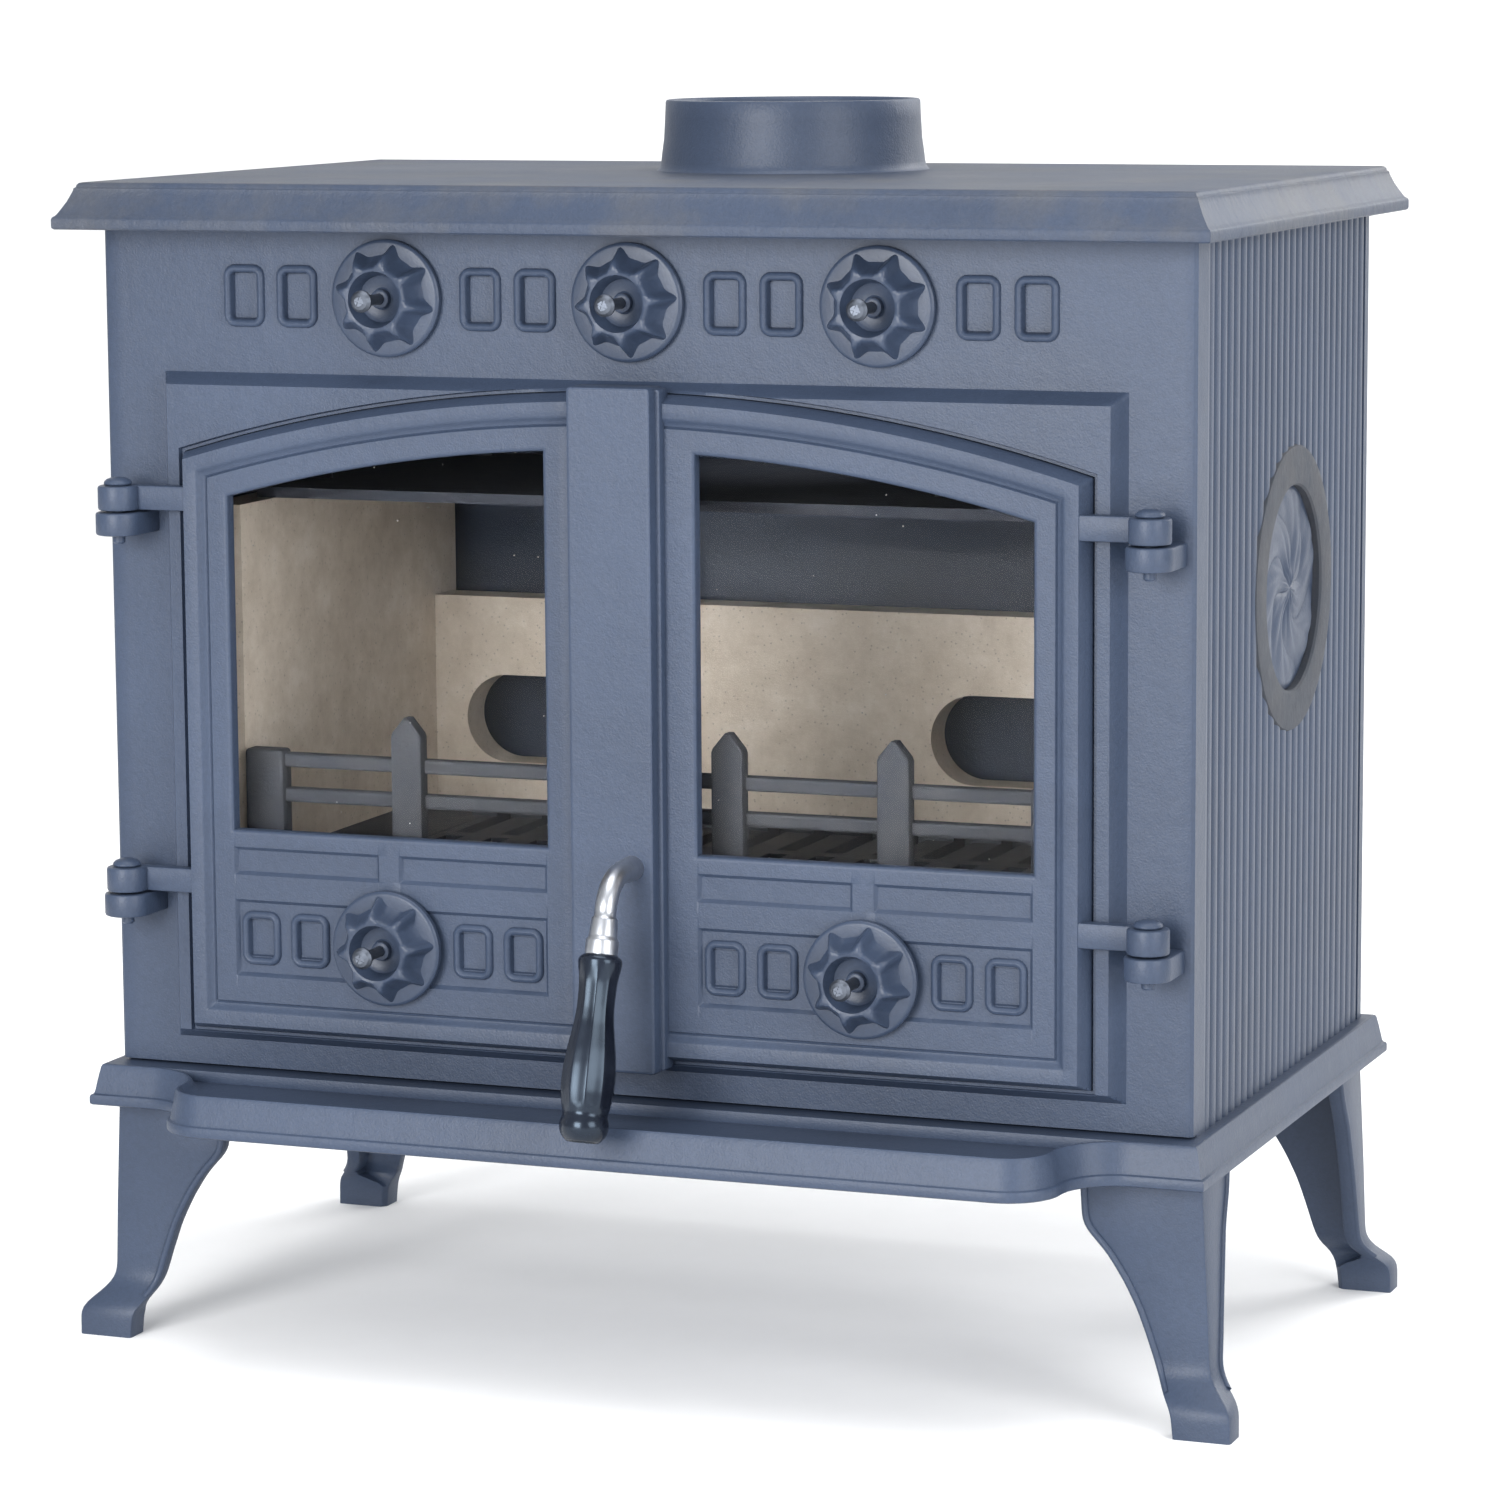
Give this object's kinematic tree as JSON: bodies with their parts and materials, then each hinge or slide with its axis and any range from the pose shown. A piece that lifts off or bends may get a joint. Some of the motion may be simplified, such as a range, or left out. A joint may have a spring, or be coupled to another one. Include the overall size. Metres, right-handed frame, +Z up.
{
  "type": "wood burning stove",
  "caption": "Cast iron wood burning stove with arched glazed double doors, spinning air wheels, hanging door handle, top flue collar, ash lip and splayed legs.",
  "frame": {"origin": "middle of the footprint of the outside box, on the floor", "axes": "+X to the right seen from the front, -Y towards the front with the doors, +Z up"},
  "size_m": [0.6854, 0.5037, 0.7065],
  "materials": {
    "painted_casting": "blue-grey painted casting, fine sand texture",
    "bare_casting": "dark unpainted casting",
    "steel": "zinc plated",
    "polished_steel": "polished",
    "black_grip": "glossy black, fluted",
    "ceramic_glass": "clear ceramic glass",
    "glass_fibre_rope": "knitted glass fibre rope",
    "fire_board": "pressed vermiculite board"
  },
  "bodies": {
    "stove_body": {"base_plate": "painted_casting", "leg_front_left": "painted_casting", "leg_front_right": "painted_casting", "leg_rear_left": "painted_casting", "leg_rear_right": "painted_casting", "leg_bolts": "steel", "front_plate": "painted_casting", "left_side_plate": "painted_casting", "right_side_plate": "painted_casting", "back_plate": "painted_casting", "top_plate": "painted_casting", "tie_rods": "steel", "flue_collar": "painted_casting", "collar_bolts": "steel", "rear_blanking_plate": "painted_casting", "blanking_bolts": "steel", "left_hinge_pins": "painted_casting", "right_hinge_pins": "painted_casting", "vent_screws": "steel", "left_liner": "fire_board", "right_liner": "fire_board", "back_liner": "fire_board", "baffle_plate": "bare_casting", "grate_frame": "bare_casting", "fire_grate": "bare_casting", "ash_pan": "steel", "ash_pan_rails": "steel"},
    "left_door_body": {"left_door": "painted_casting", "left_glass": "ceramic_glass", "left_glass_gasket": "glass_fibre_rope", "left_glass_clips": "steel", "left_clip_screws": "steel", "left_door_rope": "glass_fibre_rope", "left_door_screw": "steel"},
    "right_door_body": {"right_door": "painted_casting", "right_glass": "ceramic_glass", "right_glass_gasket": "glass_fibre_rope", "right_glass_clips": "steel", "right_clip_screws": "steel", "right_door_rope": "glass_fibre_rope", "right_door_screw": "steel"},
    "handle": {"handle_arm": "polished_steel", "handle_grip": "black_grip", "grip_screw": "steel", "latch_cam": "steel", "latch_nut": "steel"},
    "left_vent": {"left_vent_wheel": "painted_casting"},
    "centre_vent": {"centre_vent_wheel": "painted_casting"},
    "right_vent": {"right_vent_wheel": "painted_casting"},
    "left_door_vent": {"left_door_wheel": "painted_casting"},
    "right_door_vent": {"right_door_wheel": "painted_casting"},
    "fence": {"fire_fence": "bare_casting"}
  },
  "joints": [
    {"name": "left_door_hinge", "type": "hinge", "parent": "stove_body", "child": "left_door_body", "pos_m": [-0.302, -0.15814, 0.3615], "axis": [0, 0, -1], "range_deg": [0, 115]},
    {"name": "right_door_hinge", "type": "hinge", "parent": "stove_body", "child": "right_door_body", "pos_m": [0.302, -0.15814, 0.3615], "axis": [0, 0, 1], "range_deg": [0, 115]},
    {"name": "handle_turn", "type": "hinge", "parent": "right_door_body", "child": "handle", "pos_m": [0.012, -0.15814, 0.297], "axis": [0, -1, 0], "range_deg": [0, 90]},
    {"name": "left_vent_spin", "type": "hinge", "parent": "stove_body", "child": "left_vent", "pos_m": [-0.144, -0.14414, 0.6025], "axis": [0, -1, 0], "continuous": true},
    {"name": "centre_vent_spin", "type": "hinge", "parent": "stove_body", "child": "centre_vent", "pos_m": [0, -0.14414, 0.6025], "axis": [0, -1, 0], "continuous": true},
    {"name": "right_vent_spin", "type": "hinge", "parent": "stove_body", "child": "right_vent", "pos_m": [0.144, -0.14414, 0.6025], "axis": [0, -1, 0], "continuous": true},
    {"name": "left_door_vent_spin", "type": "hinge", "parent": "left_door_body", "child": "left_door_vent", "pos_m": [-0.1405, -0.16414, 0.2415], "axis": [0, -1, 0], "continuous": true},
    {"name": "right_door_vent_spin", "type": "hinge", "parent": "right_door_body", "child": "right_door_vent", "pos_m": [0.1405, -0.16414, 0.2415], "axis": [0, -1, 0], "continuous": true},
    {"name": "fence_lift", "type": "slide", "parent": "stove_body", "child": "fence", "axis": [0, 0, 1], "range_m": [0, 0.03]}
  ]
}
